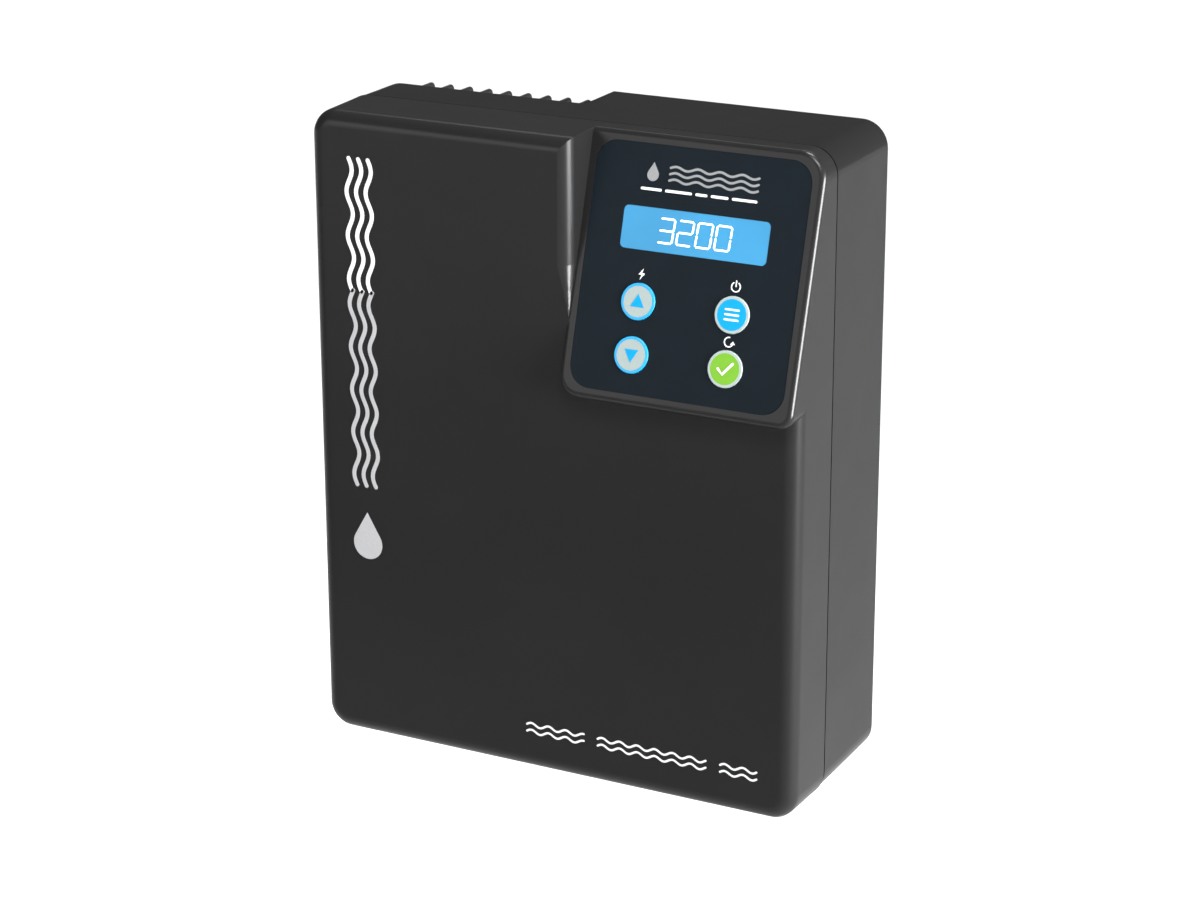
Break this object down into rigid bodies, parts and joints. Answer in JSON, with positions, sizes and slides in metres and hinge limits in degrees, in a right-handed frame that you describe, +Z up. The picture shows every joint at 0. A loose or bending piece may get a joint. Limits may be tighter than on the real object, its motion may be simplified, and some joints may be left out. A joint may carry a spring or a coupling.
{
  "type": "salt chlorine generator",
  "caption": "Wall-hung pool chlorinator control box with a sloping keypad and display, rear finned heatsink, wall bracket and cable glands underneath.",
  "frame": {"origin": "centre of the four-hole wall bolt pattern on the bracket's back, in the wall plane", "axes": "+X to the right seen from the front, +Y into the wall, +Z up; the front faces -Y"},
  "size_m": [0.274, 0.122, 0.3613],
  "materials": {
    "cover_plastic": "fine-grained charcoal moulded plastic",
    "housing_plastic": "fine-grained charcoal moulded plastic",
    "soft_rubber": "black elastomer",
    "heatsink_metal": "black anodised extrusion",
    "bracket_steel": "powder-coated steel plate",
    "zinc_steel": "zinc-plated",
    "overlay_film": "printed polyester film, fine matt grain",
    "display_blue": "lit blue liquid crystal cell",
    "backlight_white": "white light guide",
    "frame_steel": "black pressed steel",
    "key_grey": "light grey printed key",
    "key_blue": "blue printed key",
    "switch_black": "black switch moulding",
    "board_green": "solder-masked glass epoxy",
    "chip_black": "moulded package",
    "connector_white": "nylon header",
    "ribbon_grey": "grey ribbon insulation",
    "capacitor_sleeve": "dark blue shrink sleeve",
    "relay_blue": "blue relay cover",
    "clip_brass": "tinned brass",
    "fuse_glass": "glass tube",
    "terminal_green": "green terminal moulding",
    "winding_tape": "amber polyester tape over the winding",
    "rectifier_black": "epoxy block",
    "lead_red": "red silicone insulation",
    "lead_black": "black insulation",
    "gland_nylon": "black nylon",
    "button_white": "white button"
  },
  "bodies": {
    "box": {"front_cover": "cover_plastic", "rear_housing": "housing_plastic", "cover_gasket": "soft_rubber", "cover_screws": "zinc_steel", "cover_screw_seals": "soft_rubber", "heatsink": "heatsink_metal", "heatsink_gasket": "soft_rubber", "heatsink_screws": "zinc_steel", "bridge_rectifiers": "rectifier_black", "rectifier_screws": "zinc_steel", "wall_bracket": "bracket_steel", "locking_screw": "zinc_steel", "wall_bumpers": "soft_rubber", "keypad_overlay": "overlay_film", "display_lens": "display_blue", "display_glass": "display_blue", "display_backlight": "backlight_white", "display_frame": "frame_steel", "control_board": "board_green", "control_board_screws": "zinc_steel", "control_chips": "chip_black", "switch_bodies": "switch_black", "ribbon_connectors": "connector_white", "ribbon_cable": "ribbon_grey", "power_board": "board_green", "power_board_screws": "zinc_steel", "filter_capacitors": "capacitor_sleeve", "power_relays": "relay_blue", "power_chips": "chip_black", "fuse_clips": "clip_brass", "board_fuse": "fuse_glass", "terminal_block": "terminal_green", "terminal_screws": "zinc_steel", "toroidal_transformer": "winding_tape", "transformer_pads": "soft_rubber", "transformer_washer": "zinc_steel", "transformer_bolt": "zinc_steel", "transformer_leads": "lead_black", "output_leads": "lead_red", "breaker_body": "switch_black", "breaker_nut": "zinc_steel", "bonding_stud": "zinc_steel", "bonding_nuts": "clip_brass", "mains_gland_body": "gland_nylon", "mains_gland_locknut": "gland_nylon", "mains_gland_cap": "gland_nylon", "mains_gland_seal": "soft_rubber", "cell_gland_body": "gland_nylon", "cell_gland_locknut": "gland_nylon", "cell_gland_cap": "gland_nylon", "cell_gland_seal": "soft_rubber"},
    "up_key": {"key_up": "key_blue", "switch_plunger_up": "switch_black"},
    "down_key": {"key_down": "key_blue", "switch_plunger_down": "switch_black"},
    "menu_key": {"key_menu": "key_grey", "switch_plunger_menu": "switch_black"},
    "ok_key": {"key_ok": "key_grey", "switch_plunger_ok": "switch_black"},
    "reset_button": {"breaker_button": "button_white"}
  },
  "joints": [
    {"name": "up_key_press", "type": "slide", "parent": "box", "child": "up_key", "axis": [0, 0.9591, -0.283], "range_m": [0, 0.0007], "stiffness_N_per_m": 1200, "springref_m": -0.0008},
    {"name": "down_key_press", "type": "slide", "parent": "box", "child": "down_key", "axis": [0, 0.9591, -0.283], "range_m": [0, 0.0007], "stiffness_N_per_m": 1200, "springref_m": -0.0008},
    {"name": "menu_key_press", "type": "slide", "parent": "box", "child": "menu_key", "axis": [0, 0.9591, -0.283], "range_m": [0, 0.0007], "stiffness_N_per_m": 1200, "springref_m": -0.0008},
    {"name": "ok_key_press", "type": "slide", "parent": "box", "child": "ok_key", "axis": [0, 0.9591, -0.283], "range_m": [0, 0.0007], "stiffness_N_per_m": 1200, "springref_m": -0.0008},
    {"name": "reset_button_trip", "type": "slide", "parent": "box", "child": "reset_button", "axis": [0, 0, -1], "range_m": [0, 0.003]}
  ]
}
